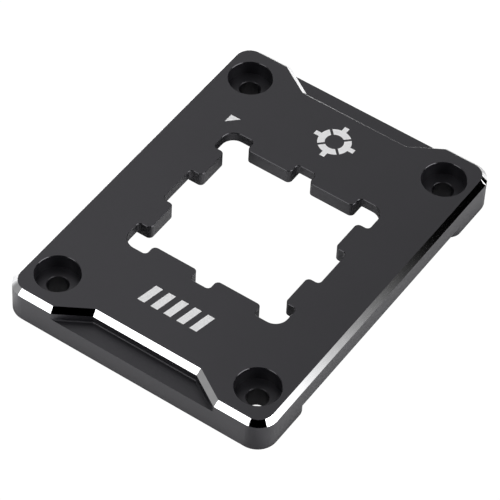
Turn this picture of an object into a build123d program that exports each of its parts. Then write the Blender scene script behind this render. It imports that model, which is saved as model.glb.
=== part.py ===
from build123d import *
import os

# Contact frame for a square land grid array processor: one plate milled from
# aluminium bar, which four screws draw down over the processor.
# X runs across the plate, Y along it and Z up. The origin is the middle of
# the plate, on the plane that its two end bars stand on. Sizes in millimetres.

# Plate
PLATE_LENGTH = 75.0
PLATE_WIDTH = 56.0
PLATE_HEIGHT = 8.0
CORNER_RADIUS = 4.0
RIM_CHAMFER = 1.0
FOOT_CHAMFER = 1.0

# Broken edges: of the window and the screw holes, and of their mouths under the end bars
EDGE_BREAK = 0.1
BORE_MOUTH_BREAK = 0.4

# Screw holes, with the seat of the screw head sunk below the top face
SCREW_PITCH_X = 43.0
SCREW_PITCH_Y = 60.0
SCREW_BORE = 4.0
HEAD_BORE = 8.4
HEAD_SEAT_DEPTH = 3.0

# Recess in the top of each end, a trapezoid open to the end wall
RECESS_DEPTH = 2.5
RECESS_REACH = 3.9
RECESS_INNER_WIDTH = 22.2
RECESS_MOUTH_WIDTH = 34.8
RECESS_CORNER_RADIUS = 0.5
RECESS_MOUTH_RADIUS = 1.2
RECESS_ROOT_FILLET = 0.3

# Window over the processor, and the two tabs that reach into it from each side
WINDOW_SPAN = 34.1
WINDOW_CORNER_RADIUS = 2.6
TAB_REACH = 2.5
TAB_GAP_ENDS = 4.1
TAB_WIDTH_ENDS = 9.6
TAB_GAP_SIDES = 8.8
TAB_WIDTH_SIDES = 7.2
TAB_NOSE_RADIUS = 0.9
TAB_ROOT_RADIUS = 0.8

# Depths below the top face of the surfaces on the underside
POCKET_CEILING_DEPTH = 2.0
TAB_UNDERSIDE_DEPTH = 3.0
SOCKET_CEILING_DEPTH = 4.0
RELIEF_CEILING_DEPTH = 5.0

# Pocket over the processor package, and the wider one over its socket
PACKAGE_POCKET = 40.6
PACKAGE_POCKET_RADIUS = 2.0
SOCKET_POCKET = 46.0
SOCKET_POCKET_RADIUS = 3.0

# Relief between the end bars, whose inner corners are rounded
RELIEF_LENGTH = 47.4
FOOT_CORNER_RADIUS = 2.5

# How far tools run past the faces they cut, and when two places are the same
CLEAR = 1.0
TOLERANCE = 1e-4


def level(depth):
    """Height of a surface that lies a given depth below the top face."""
    return PLATE_HEIGHT - depth


def raised(sketch, bottom, top):
    """Prism on a plan sketch between two heights."""
    return extrude(Pos(0, 0, bottom) * sketch, top - bottom)


def mirrored_four(shape):
    """A shape in the first quadrant of the plan, repeated in all four."""
    pair = [shape, mirror(shape, Plane.YZ)]
    return pair + [mirror(each, Plane.XZ) for each in pair]


def slab():
    """Upper part of the plate, as long and wide as the whole frame."""
    outline = RectangleRounded(PLATE_WIDTH, PLATE_LENGTH, CORNER_RADIUS)
    return raised(outline, level(RELIEF_CEILING_DEPTH), PLATE_HEIGHT)


def end_bar():
    """The bar under the far end, which is one of the frame's two feet."""
    reach = (PLATE_LENGTH - RELIEF_LENGTH) / 2
    centre = (PLATE_LENGTH + RELIEF_LENGTH) / 4
    outline = Pos(0, centre) * Rectangle(PLATE_WIDTH, reach)
    outer = outline.vertices().group_by(Axis.Y)[-1]
    outline = fillet(outer, CORNER_RADIUS)
    inner = outline.vertices().group_by(Axis.Y)[0]
    outline = fillet(inner, FOOT_CORNER_RADIUS)
    bar = raised(outline, 0, level(RELIEF_CEILING_DEPTH))
    sole = bar.faces().sort_by(Axis.Z)[0]
    return chamfer(sole.edges(), FOOT_CHAMFER)


def end_recess():
    """Tool for the trapezoid recess in the top of the far end."""
    wall_y = PLATE_LENGTH / 2 - RECESS_REACH
    end_y = PLATE_LENGTH / 2
    inner_x = RECESS_INNER_WIDTH / 2
    mouth_x = RECESS_MOUTH_WIDTH / 2
    flare_x = mouth_x + RECESS_MOUTH_RADIUS
    past_y = end_y + CLEAR
    outline = make_face(
        Polyline(
            (-inner_x, wall_y),
            (inner_x, wall_y),
            (mouth_x, end_y),
            (flare_x, end_y),
            (flare_x, past_y),
            (-flare_x, past_y),
            (-flare_x, end_y),
            (-mouth_x, end_y),
            close=True,
        )
    )
    inner = outline.vertices().group_by(Axis.Y)[0]
    outline = fillet(inner, RECESS_CORNER_RADIUS)
    mouth = outline.vertices().group_by(Axis.Y)[-2].sort_by(Axis.X)[1:-1]
    outline = fillet(mouth, RECESS_MOUTH_RADIUS)
    tool = raised(outline, level(RECESS_DEPTH), PLATE_HEIGHT + RECESS_DEPTH)
    floor = tool.faces().sort_by(Axis.Z)[0]
    root = [edge for edge in floor.edges() if edge.center().Y < end_y - TOLERANCE]
    return fillet(root, RECESS_ROOT_FILLET)


def screw_hole():
    """Tool for one screw hole: a bore, its wider seat for the head, and broken edges."""
    bore = SCREW_BORE / 2
    head = HEAD_BORE / 2
    seat = level(HEAD_SEAT_DEPTH)
    past_bore = bore + BORE_MOUTH_BREAK + CLEAR
    past_head = head + EDGE_BREAK + CLEAR
    profile = make_face(
        Polyline(
            (0, -CLEAR),
            (past_bore, -CLEAR),
            (bore, BORE_MOUTH_BREAK),
            (bore, seat - EDGE_BREAK),
            (bore + EDGE_BREAK, seat),
            (head, seat),
            (head, PLATE_HEIGHT - EDGE_BREAK),
            (past_head, PLATE_HEIGHT + CLEAR),
            (0, PLATE_HEIGHT + CLEAR),
            close=True,
        )
    )
    tool = revolve(Plane.XZ * profile, Axis.Z)
    return Pos(SCREW_PITCH_X / 2, SCREW_PITCH_Y / 2) * tool


def tab_strips(reach):
    """Plan of the eight tabs, each a strip that runs out from its nose."""
    nose = WINDOW_SPAN / 2 - TAB_REACH
    strips = []
    for gap, width, turn in (
        (TAB_GAP_ENDS, TAB_WIDTH_ENDS, 90),
        (TAB_GAP_SIDES, TAB_WIDTH_SIDES, 0),
    ):
        middle = (gap + width) / 2
        for side in (0, 180):
            for offset in (-middle, middle):
                strip = Pos(nose + reach / 2, offset) * Rectangle(reach, width)
                strips.append(Rot(0, 0, turn + side) * strip)
    return strips


def window_outline():
    """Plan of the window: a square that the tabs notch, with rounded corners."""
    outline = Rectangle(WINDOW_SPAN, WINDOW_SPAN) - tab_strips(TAB_REACH + CLEAR)
    half = WINDOW_SPAN / 2
    nose = half - TAB_REACH
    corners, noses, roots = [], [], []
    for vertex in outline.vertices():
        far_x = abs(abs(vertex.X) - half) < TOLERANCE
        far_y = abs(abs(vertex.Y) - half) < TOLERANCE
        at_nose = min(abs(abs(vertex.X) - nose), abs(abs(vertex.Y) - nose)) < TOLERANCE
        if far_x and far_y:
            corners.append(vertex)
        elif at_nose:
            noses.append(vertex)
        else:
            roots.append(vertex)
    for places, radius in (
        (corners, WINDOW_CORNER_RADIUS),
        (noses, TAB_NOSE_RADIUS),
        (roots, TAB_ROOT_RADIUS),
    ):
        at = [tuple(place) for place in places]
        picked = [v for v in outline.vertices() if nearest(v, at) < TOLERANCE]
        outline = fillet(picked, radius)
    return outline


def nearest(vertex, places):
    """Distance from a vertex to the nearest of some places."""
    return min((Vector(*place) - Vector(*tuple(vertex))).length for place in places)


def underside():
    """Tool for the stepped pocket under the window, which leaves the tabs."""
    package = RectangleRounded(PACKAGE_POCKET, PACKAGE_POCKET, PACKAGE_POCKET_RADIUS)
    socket = RectangleRounded(SOCKET_POCKET, SOCKET_POCKET, SOCKET_POCKET_RADIUS)
    between_tabs = package - tab_strips(PACKAGE_POCKET)
    upper = raised(between_tabs, level(TAB_UNDERSIDE_DEPTH), level(POCKET_CEILING_DEPTH))
    middle = raised(package, level(SOCKET_CEILING_DEPTH), level(TAB_UNDERSIDE_DEPTH))
    lower = raised(socket, -CLEAR, level(SOCKET_CEILING_DEPTH))
    return upper + middle + lower


def contact_frame():
    """The whole frame, as it leaves the mill."""
    bar = end_bar()
    frame = slab() + bar + mirror(bar, Plane.XZ)
    recess = end_recess()
    frame -= recess + mirror(recess, Plane.XZ)
    frame = chamfer(top_face(frame).outer_wire().edges(), RIM_CHAMFER)
    window = raised(window_outline(), -CLEAR, PLATE_HEIGHT + CLEAR)
    frame -= [window, underside()]
    rims = [edge for wire in top_face(frame).inner_wires() for edge in wire.edges()]
    frame = chamfer(rims, EDGE_BREAK)
    return frame - mirrored_four(screw_hole())


def top_face(frame):
    """The face that the marks and the screw holes are on."""
    return frame.faces().sort_by(Axis.Z)[-1]


os.makedirs("parts", exist_ok=True)
part = contact_frame()
part.label = "contact_frame"
export_step(part, "parts/contact_frame.step")
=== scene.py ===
import math

import bmesh
import bpy
from mathutils import Matrix, Vector


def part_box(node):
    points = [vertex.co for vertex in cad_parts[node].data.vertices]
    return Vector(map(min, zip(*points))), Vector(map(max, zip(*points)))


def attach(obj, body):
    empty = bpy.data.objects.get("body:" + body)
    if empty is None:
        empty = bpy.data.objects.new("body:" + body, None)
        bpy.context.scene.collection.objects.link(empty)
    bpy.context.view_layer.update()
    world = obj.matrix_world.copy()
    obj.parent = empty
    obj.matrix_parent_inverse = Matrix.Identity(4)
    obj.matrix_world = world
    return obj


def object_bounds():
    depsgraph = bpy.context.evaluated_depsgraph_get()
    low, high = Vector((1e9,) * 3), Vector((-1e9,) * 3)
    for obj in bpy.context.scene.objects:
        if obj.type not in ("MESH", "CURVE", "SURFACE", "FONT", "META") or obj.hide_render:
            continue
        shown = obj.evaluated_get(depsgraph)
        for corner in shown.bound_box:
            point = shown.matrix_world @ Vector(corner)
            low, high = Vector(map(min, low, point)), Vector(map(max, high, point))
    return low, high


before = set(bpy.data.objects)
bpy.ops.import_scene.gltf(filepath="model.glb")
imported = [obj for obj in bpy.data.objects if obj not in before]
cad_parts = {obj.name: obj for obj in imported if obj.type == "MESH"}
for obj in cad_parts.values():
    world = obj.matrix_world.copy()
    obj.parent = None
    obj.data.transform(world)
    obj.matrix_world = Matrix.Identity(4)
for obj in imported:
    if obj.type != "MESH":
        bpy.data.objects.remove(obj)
cad_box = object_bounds()

# Looks of a milled contact frame: black anodised aluminium with a bright cut rim and pale etched marks.
# Everything is in metres, in the frame of the solid: X across the plate, Y along it, Z up.

MM = 0.001
PLATE = "contact_frame"
PLATE_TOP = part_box(PLATE)[1].z

# Rim chamfer and broken edges: what tells their facets from the rest of the mesh. The rim in the back notch
# lies beyond START. Its inner side reaches to SIDE at either hand, and its right side from there to MOUTH.
RIM_CHAMFER = 1.0 * MM
CHAMFER_SLOPE = math.cos(math.radians(45))
SLOPE_TOLERANCE = 0.1
EDGE_BREAK = 0.1 * MM
BACK_NOTCH_START = 32.0 * MM
BACK_NOTCH_SIDE = 11.0 * MM
BACK_NOTCH_MOUTH = 17.2 * MM

# Black anodising: its darkest and palest dye, the size of its mottle, its pits and its grain, and its gloss
DYE = ((0.0062, 0.0062, 0.0078), (0.0078, 0.0078, 0.0098))
DYE_MOTTLE = 9 * MM
PIT_SIZE = 0.5 * MM
PIT_STRENGTH = 0.25
GRAIN_SIZE = 0.18 * MM
GRAIN_STRENGTH = 0.5
GRAIN_DEPTH = 0.01 * MM
ANODISED_IOR = 1.62
ANODISED_TINT = (0.95, 0.93, 1.0, 1)
BODY_ROUGHNESS = (0.38, 0.46)
BROKEN_EDGE_ROUGHNESS = (0.14, 0.22)

# Bare cut metal: its darkest and palest tone, the cutter's faint lines, and its haze at the left and right
METAL = ((0.86, 0.86, 0.87), (0.92, 0.92, 0.93))
METAL_MOTTLE = 2 * MM
CUT_LINE_SIZE = 3 * MM
CUT_LINE_STRETCH = (1, 1, 60)
CUT_LINE_DEPTH = 0.004 * MM
CUT_LINE_STRENGTH = 0.3
CUT_LINE_HAZE = 0.02
RIM_HAZE = (0.03, 0.03)
NOTCH_INNER_HAZE = (0.28, 0.15)
NOTCH_RIGHT_HAZE = (0.22, 0.22)

# Laser etching: its darkest and palest tone, its frost, and the hatch that the beam leaves
ETCHING = ((0.93, 0.93, 0.94), (0.99, 0.99, 1.0))
FROST_SIZE = 0.12 * MM
FROST_ROUGHNESS = (0.6, 0.8)
FROST_DEPTH = 0.008 * MM
FROST_STRENGTH = 0.4
HATCH_SIZE = 1.5 * MM
HATCH_STRETCH = (1, 25, 1)

# Where most of a noise's values lie
NOISE_SPAN = (0.3, 0.7)

# Etched marks on the top face: how proud they stand, their places from its middle, and their sizes. FACETS
# is the number of straight steps in each arc of the target.
MARK_RISE = 0.01 * MM
BAR_COUNT = 5
BAR_WIDTH = 1.5 * MM
BAR_HEIGHT = 4.4 * MM
BAR_LEAN = 0.9 * MM
BAR_ROW_LENGTH = 13.6 * MM
BAR_ROW_Y = -24.15 * MM
TARGET_CENTRE = Vector((0.2, 25.8)) * MM
TARGET_RADII = (1.8 * MM, 3.2 * MM)
TARGET_REACH = 4.3 * MM
TARGET_TICK = 1.0 * MM
TARGET_GAP = 0.5 * MM
TARGET_FACETS = 16
CORNER_MARK = [Vector((-19.0, 20.1)) * MM, Vector((-19.0, 18.0)) * MM, Vector((-16.9, 20.1)) * MM]

# Camera: the photograph's viewpoint, with its angles in degrees, aimed at a point on the top face
IMAGE_SIDE = 500
FOCAL_PIXELS = 3175.8
SENSOR = 36.0
CAMERA_AZIMUTH = 32.085
CAMERA_ELEVATION = 48.874
CAMERA_ROLL = 3.347
CAMERA_DISTANCE = 566.63 * MM
CAMERA_TARGET = Vector((2.684 * MM, -5.205 * MM, PLATE_TOP))
CAMERA_CLIP = 10 * MM

# Ground: a large floor, and how bright it and the sky are to the camera. Just over 1 leaves no grey speck.
FLOOR_SIDE = 8.0
FLOOR_TONE = (0.95, 0.95, 0.95, 1)
FLOOR_ROUGHNESS = 0.9
GROUND_WHITE = 1.03
WHITE = (1, 1, 1, 1)

# Studio: softboxes on the sky by their direction from the plate in degrees, azimuth 0 in front and 90 at the
# right. In order: one in front, one high up, one at the right and a thin stripe beyond it, a wide one behind
# at the left, and two low bands along the left. fade holds how far each fades out to its left, to its right,
# and up and down, and power how steeply.
SOFTBOXES = [
    {"across": (-42, -9), "up": (12, 60), "fade": (1.5, 1.5, 2), "power": 2, "radiance": 2.2},
    {"across": (-40, 100), "up": (64, 76), "fade": (10, 10, 3), "power": 2, "radiance": 1.46},
    {"across": (77, 122.1), "up": (8, 45), "fade": (3, 6.45, 4), "power": 2.5, "radiance": 4.0},
    {"across": (139.8, 142), "up": (8, 15), "fade": (0.6, 0.8, 1), "power": 2, "radiance": 1.8},
    {"across": (-178, -115), "up": (12, 40), "fade": (10, 15, 10), "power": 2, "radiance": 1.19},
    {"across": (-178, -45), "up": (-5, 26), "fade": (3, 3, 6), "power": 2, "radiance": 0.3},
    {"across": (-178, -70), "up": (-5, 1), "fade": (3, 3, 10), "power": 2, "radiance": 0.56},
]

# Near square lights, which fall off across the plate, in metres
NEAR_LIGHTS = [
    {"azimuth": 236, "elevation": 63, "distance": 0.45, "side": 0.26, "radiance": 0.5},
    {"azimuth": 245, "elevation": 60, "distance": 0.2, "side": 0.1, "radiance": 0.46},
]

# Painted light on the floor: a glow by zone that stands in for the studio's light on it, at the plate's
# sides and more so near its left one, before it up to its right corner, behind its left half, and under its
# window and its screw holes. The window's zone lies a little further back than the window. Zones add up, and
# the rest stands for the plate's shade.
GLOW = {"sides": 0.35, "left": 0.3, "front": 0.41, "behind": 0.36, "window": 0.28, "screws": 0.1}
GLOW_FADE = 2 * MM
LEFT_LIT = 22 * MM
FRONT_UNDER = 0.5 * MM
FRONT_DARK_CORNER = 4 * MM
BEHIND_GAP = 14 * MM
WINDOW_LIT = 14 * MM
WINDOW_LIT_BACK = 2 * MM
SCREW_PLACE = (21.5 * MM, 30 * MM)
SCREW_LIT = 3 * MM


# Helpers for shader nodes

def new_material(name):
    """An empty material with a Principled shader. Returns the material and its shader."""
    material = bpy.data.materials.new(name)
    material.use_nodes = True
    shader = material.node_tree.nodes["Principled BSDF"]
    return material, shader


def add_node(shader, kind, **sockets):
    """A node beside a shader, with its inputs set or linked by name."""
    tree = shader.id_data
    node = tree.nodes.new(kind)
    for name, value in sockets.items():
        set_input(node, name.replace("_", " "), value)
    return node


def set_input(node, key, value):
    """Sets one input, by its name or number, to a value, or links it to another node's output."""
    if isinstance(value, bpy.types.NodeSocket):
        node.id_data.links.new(value, node.inputs[key])
    else:
        node.inputs[key].default_value = value


def mapped_place(shader, scale):
    """The object's own coordinates, stretched by a scale on each axis."""
    place = add_node(shader, "ShaderNodeTexCoord")
    mapping = add_node(shader, "ShaderNodeMapping", Vector=place.outputs["Object"], Scale=scale)
    return mapping.outputs["Vector"]


def noise(shader, grain, detail=2.0, roughness=0.5, stretch=(1, 1, 1)):
    """Noise whose features are about one grain across, in metres."""
    place = mapped_place(shader, stretch)
    node = add_node(
        shader, "ShaderNodeTexNoise",
        Vector=place, Scale=1 / grain, Detail=detail, Roughness=roughness,
    )
    return node.outputs["Fac"]


def ramp(beside, value, start, stop, low=0, high=1):
    """Goes from low to high while a value goes from start to stop, and stays level beyond."""
    node = add_node(beside, "ShaderNodeMapRange", Value=value)
    node.inputs["From Min"].default_value = start
    node.inputs["From Max"].default_value = stop
    node.inputs["To Min"].default_value = low
    node.inputs["To Max"].default_value = high
    return node.outputs["Result"]


def spread(shader, factor, low, high):
    """A noise factor spread between two numbers."""
    return ramp(shader, factor, *NOISE_SPAN, low, high)


def math_node(beside, operation, *values):
    """The result of one operation on numbers or sockets."""
    node = add_node(beside, "ShaderNodeMath")
    node.operation = operation
    for i, value in enumerate(values):
        set_input(node, i, value)
    return node.outputs[0]


def tinted(shader, factor, dark, pale):
    """Two colours mixed by a factor."""
    node = add_node(shader, "ShaderNodeMix")
    node.data_type = "RGBA"
    colours = [socket for socket in node.inputs if socket.type == "RGBA"]
    colours[0].default_value = (*dark, 1)
    colours[1].default_value = (*pale, 1)
    set_input(node, "Factor", factor)
    return [socket for socket in node.outputs if socket.type == "RGBA"][0]


def bumped(shader, height, depth, strength, under=None):
    """A bump of a real depth in metres, on top of another bump where one is given."""
    node = add_node(shader, "ShaderNodeBump", Height=height, Distance=depth, Strength=strength)
    if under:
        set_input(node, "Normal", under)
    return node.outputs["Normal"]


# Materials

def black_anodised(name, roughness):
    """Bead-blasted aluminium, dyed black: a fine pitted grain with a faint mottle in the dye."""
    material, shader = new_material(name)
    mottle = noise(shader, DYE_MOTTLE, detail=3)
    grain = noise(shader, GRAIN_SIZE, detail=3, roughness=0.6)
    pits = noise(shader, PIT_SIZE, detail=2)
    set_input(shader, "Base Color", tinted(shader, spread(shader, mottle, 0, 1), *DYE))
    set_input(shader, "Roughness", spread(shader, grain, *roughness))
    set_input(shader, "IOR", ANODISED_IOR)
    set_input(shader, "Specular Tint", ANODISED_TINT)
    coarse = bumped(shader, pits, GRAIN_DEPTH, PIT_STRENGTH)
    set_input(shader, "Normal", bumped(shader, grain, GRAIN_DEPTH, GRAIN_STRENGTH, under=coarse))
    return material


def bright_cut(name, haze_ends):
    """Bare diamond-cut aluminium: faint lines along the cut, and a haze that changes from left to right."""
    material, shader = new_material(name)
    lines = noise(shader, CUT_LINE_SIZE, detail=3, stretch=CUT_LINE_STRETCH)
    alloy = noise(shader, METAL_MOTTLE)
    place = add_node(shader, "ShaderNodeTexCoord")
    across = add_node(shader, "ShaderNodeSeparateXYZ", Vector=place.outputs["Object"]).outputs["X"]
    haze = ramp(shader, across, -BACK_NOTCH_SIDE, BACK_NOTCH_SIDE, *haze_ends)
    line_haze = spread(shader, lines, 0, CUT_LINE_HAZE)
    set_input(shader, "Base Color", tinted(shader, spread(shader, alloy, 0, 1), *METAL))
    set_input(shader, "Metallic", 1.0)
    set_input(shader, "Roughness", math_node(shader, "ADD", haze, line_haze))
    set_input(shader, "Normal", bumped(shader, lines, CUT_LINE_DEPTH, CUT_LINE_STRENGTH))
    return material


def etched_mark():
    """Pale laser etching: a matte frosted face, hatched by the passes of the beam."""
    material, shader = new_material("etched_mark")
    frost = noise(shader, FROST_SIZE, detail=3)
    hatch = noise(shader, HATCH_SIZE, detail=2, stretch=HATCH_STRETCH)
    set_input(shader, "Base Color", tinted(shader, spread(shader, hatch, 0, 1), *ETCHING))
    set_input(shader, "Roughness", spread(shader, frost, *FROST_ROUGHNESS))
    set_input(shader, "Normal", bumped(shader, frost, FROST_DEPTH, FROST_STRENGTH))
    return material


def finish_plate():
    """Gives each facet of the plate the finish of its place."""
    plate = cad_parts[PLATE]
    finishes = {
        "body": black_anodised("black_anodised", BODY_ROUGHNESS),
        "broken_edge": black_anodised("worn_edge", BROKEN_EDGE_ROUGHNESS),
        "rim": bright_cut("bright_cut", RIM_HAZE),
        "notch_inner": bright_cut("duller_cut", NOTCH_INNER_HAZE),
        "notch_right": bright_cut("dull_side_cut", NOTCH_RIGHT_HAZE),
    }
    plate.data.materials.clear()
    for finish in finishes.values():
        plate.data.materials.append(finish)
    places = list(finishes)
    for facet in plate.data.polygons:
        facet.material_index = places.index(place_of(facet))


def place_of(facet):
    """Where on the plate a facet lies. The back notch's rim counts apart, but for the notch's left side."""
    depth = PLATE_TOP - facet.center.z
    if depth > RIM_CHAMFER or abs(facet.normal.z - CHAMFER_SLOPE) > SLOPE_TOLERANCE:
        return "body"
    if depth < EDGE_BREAK:
        return "broken_edge"
    in_notch = -BACK_NOTCH_SIDE < facet.center.x < BACK_NOTCH_MOUTH and facet.center.y > BACK_NOTCH_START
    if not in_notch:
        return "rim"
    return "notch_inner" if facet.center.x < BACK_NOTCH_SIDE else "notch_right"


# Etched marks: generic ones in the places of the maker's

def add_mark(name, outlines, finish):
    """A thin plate of pale etching on the top face, over one or more closed outlines."""
    mesh = bmesh.new()
    for outline in outlines:
        low = [mesh.verts.new((x, y, PLATE_TOP)) for x, y in outline]
        high = [mesh.verts.new((x, y, PLATE_TOP + MARK_RISE)) for x, y in outline]
        mesh.faces.new(high)
        mesh.faces.new(low[::-1])
        for i in range(len(outline)):
            mesh.faces.new((low[i - 1], low[i], high[i], high[i - 1]))
    data = bpy.data.meshes.new(name)
    mesh.to_mesh(data)
    mesh.free()
    mark = bpy.data.objects.new(name, data)
    bpy.context.collection.objects.link(mark)
    data.materials.append(finish)
    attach(mark, "root")


def leaning_bar(middle_x):
    """Outline of one bar of the row, which leans to the right."""
    half = BAR_HEIGHT / 2
    corners = []
    for side, end in ((-1, -1), (1, -1), (1, 1), (-1, 1)):
        corners.append((middle_x + side * BAR_WIDTH / 2 + end * BAR_LEAN / 2, BAR_ROW_Y + end * half))
    return corners


def target_sector(turned):
    """Outline of one of the target's four gapped arcs, whose middle stands out as a tick."""
    inner, outer = TARGET_RADII
    gap, tick = TARGET_GAP / 2, TARGET_TICK / 2

    def arc(radius, start, stop):
        angles = [start + (stop - start) * i / TARGET_FACETS for i in range(TARGET_FACETS + 1)]
        return [Matrix.Rotation(angle, 2) @ Vector((radius, 0)) for angle in angles]

    half_sector = math.pi / 4
    tick_turn = math.asin(tick / outer)
    before = arc(outer, math.asin(gap / outer) - half_sector, -tick_turn)
    after = arc(outer, tick_turn, half_sector - math.asin(gap / outer))
    back = arc(inner, half_sector - math.asin(gap / inner), math.asin(gap / inner) - half_sector)
    tip = [Vector((TARGET_REACH, -tick)), Vector((TARGET_REACH, tick))]
    turn = Matrix.Rotation(turned, 2)
    return [TARGET_CENTRE + turn @ point for point in before + tip + after + back]


def add_marks():
    """The row of bars, the target and the triangle that marks the first contact's corner."""
    finish = etched_mark()
    pitch = (BAR_ROW_LENGTH - BAR_WIDTH - BAR_LEAN) / (BAR_COUNT - 1)
    middle = (BAR_COUNT - 1) / 2
    add_mark("bar_row_mark", [leaning_bar((i - middle) * pitch) for i in range(BAR_COUNT)], finish)
    add_mark("target_mark", [target_sector(i * math.pi / 2) for i in range(4)], finish)
    add_mark("corner_mark", [CORNER_MARK], finish)


# Camera, floor and light

def away_from_plate(azimuth, elevation):
    """Direction from the plate, in degrees. Azimuth 0 is in front, at -Y, and 90 at the right, at +X."""
    a, e = math.radians(azimuth), math.radians(elevation)
    return Vector((math.sin(a) * math.cos(e), -math.cos(a) * math.cos(e), math.sin(e)))


def camera_axes():
    """The camera's right, up and back directions."""
    back = away_from_plate(CAMERA_AZIMUTH, CAMERA_ELEVATION)
    level = away_from_plate(CAMERA_AZIMUTH + 90, 0)
    above = back.cross(level)
    roll = math.radians(CAMERA_ROLL)
    right = math.cos(roll) * level + math.sin(roll) * above
    up = math.cos(roll) * above - math.sin(roll) * level
    return right, up, back


def add_camera():
    """The photograph's camera."""
    right, up, back = camera_axes()
    camera = bpy.data.objects.new("camera", bpy.data.cameras.new("camera"))
    bpy.context.collection.objects.link(camera)
    camera.data.sensor_width = SENSOR
    camera.data.lens = SENSOR * FOCAL_PIXELS / IMAGE_SIDE
    camera.data.clip_start = CAMERA_CLIP
    turn = Matrix((right, up, back)).transposed().to_4x4()
    camera.matrix_world = Matrix.Translation(CAMERA_TARGET + back * CAMERA_DISTANCE) @ turn
    bpy.context.scene.camera = camera


def add_floor():
    """A white floor with a painted glow by zone, which stands in for its light and the plate's shade. Lit by
    the studio, it is pure white to the camera like a cut-out background.
    """
    bpy.ops.mesh.primitive_plane_add(size=FLOOR_SIDE)
    floor = bpy.context.object
    floor.name = "floor"
    material, shader = new_material("floor")
    set_input(shader, "Base Color", FLOOR_TONE)
    set_input(shader, "Roughness", FLOOR_ROUGHNESS)
    set_input(shader, "Emission Color", WHITE)
    set_input(shader, "Emission Strength", floor_glow(shader))
    white_to_camera(shader, "ShaderNodeEmission", "Material Output")
    floor.data.materials.append(material)


def white_to_camera(shader, kind, output):
    """Shows plain white to the camera in place of a shader, which still lights the plate."""
    white = add_node(shader, kind, Color=WHITE, Strength=GROUND_WHITE)
    rays = add_node(shader, "ShaderNodeLightPath")
    seen = add_node(shader, "ShaderNodeMixShader", Fac=rays.outputs["Is Camera Ray"])
    tree = shader.id_data
    tree.links.new(shader.outputs[0], seen.inputs[1])
    tree.links.new(white.outputs[0], seen.inputs[2])
    tree.links.new(seen.outputs[0], tree.nodes[output].inputs["Surface"])


def floor_glow(shader):
    """The floor's painted glow, zone by zone, from how far inside each zone a point lies."""
    place = add_node(shader, "ShaderNodeTexCoord")
    axis = add_node(shader, "ShaderNodeSeparateXYZ", Vector=place.outputs["Object"]).outputs
    x, y = axis["X"], axis["Y"]
    side, end = cad_box[1].x, cad_box[1].y

    def less(a, b):
        return math_node(shader, "SUBTRACT", a, b)

    def both(a, b):
        return math_node(shader, "MINIMUM", a, b)

    across, along = math_node(shader, "ABSOLUTE", x), math_node(shader, "ABSOLUTE", y)
    off_back = math_node(shader, "ABSOLUTE", less(y, WINDOW_LIT_BACK))
    off_x = math_node(shader, "ABSOLUTE", less(across, SCREW_PLACE[0]))
    off_y = math_node(shader, "ABSOLUTE", less(along, SCREW_PLACE[1]))
    inside = {
        "sides": less(across, side),
        "left": both(less(-side, x), less(x, -side - LEFT_LIT)),
        "front": both(less(FRONT_UNDER - end, y), less(side - FRONT_DARK_CORNER, x)),
        "behind": both(less(y, end + BEHIND_GAP), less(0, x)),
        "window": both(less(WINDOW_LIT, across), less(WINDOW_LIT, off_back)),
        "screws": less(SCREW_LIT, math_node(shader, "ADD", off_x, off_y)),
    }
    total = 0
    for zone, depth in inside.items():
        lit = ramp(shader, depth, 0, GLOW_FADE)
        total = math_node(shader, "ADD", total, math_node(shader, "MULTIPLY", lit, GLOW[zone]))
    return total


def softbox(beside, azimuth, elevation, box):
    """Radiance of a rectangular softbox, in degrees round the plate, whose sides fade out."""
    (left, right), (low, high), (fade_left, fade_right, fade_level) = box["across"], box["up"], box["fade"]
    sides = [
        ramp(beside, azimuth, left - fade_left, left),
        ramp(beside, azimuth, right + fade_right, right),
        ramp(beside, elevation, low - fade_level, low),
        ramp(beside, elevation, high + fade_level, high),
    ]
    shape = sides[0]
    for side in sides[1:]:
        shape = math_node(beside, "MULTIPLY", shape, side)
    shape = math_node(beside, "POWER", shape, box["power"])
    return math_node(beside, "MULTIPLY", shape, box["radiance"])


def add_world():
    """A dark studio with softboxes."""
    world = bpy.data.worlds.new("studio")
    world.use_nodes = True
    bpy.context.scene.world = world
    background = world.node_tree.nodes["Background"]
    place = add_node(background, "ShaderNodeTexCoord")
    axis = add_node(background, "ShaderNodeSeparateXYZ", Vector=place.outputs["Generated"]).outputs
    front = math_node(background, "MULTIPLY", axis["Y"], -1)
    azimuth = math_node(background, "DEGREES", math_node(background, "ARCTAN2", axis["X"], front))
    elevation = math_node(background, "DEGREES", math_node(background, "ARCSINE", axis["Z"]))
    total = 0
    for box in SOFTBOXES:
        total = math_node(background, "ADD", total, softbox(background, azimuth, elevation, box))
    set_input(background, "Color", WHITE)
    set_input(background, "Strength", total)
    white_to_camera(background, "ShaderNodeBackground", "World Output")


def add_near_light(lamp):
    """A square softbox near the plate, which faces it."""
    away = away_from_plate(lamp["azimuth"], lamp["elevation"])
    data = bpy.data.lights.new("near_light", "AREA")
    data.shape = "SQUARE"
    data.size = lamp["side"]
    data.energy = lamp["radiance"] * math.pi * lamp["side"] ** 2
    light = bpy.data.objects.new("near_light", data)
    bpy.context.collection.objects.link(light)
    light.location = away * lamp["distance"]
    light.rotation_mode = "QUATERNION"
    light.rotation_quaternion = away.to_track_quat("Z", "Y")
    light.visible_camera = False


finish_plate()
add_marks()
add_camera()
add_floor()
add_world()
for lamp in NEAR_LIGHTS:
    add_near_light(lamp)
bpy.context.scene.view_settings.view_transform = "Standard"
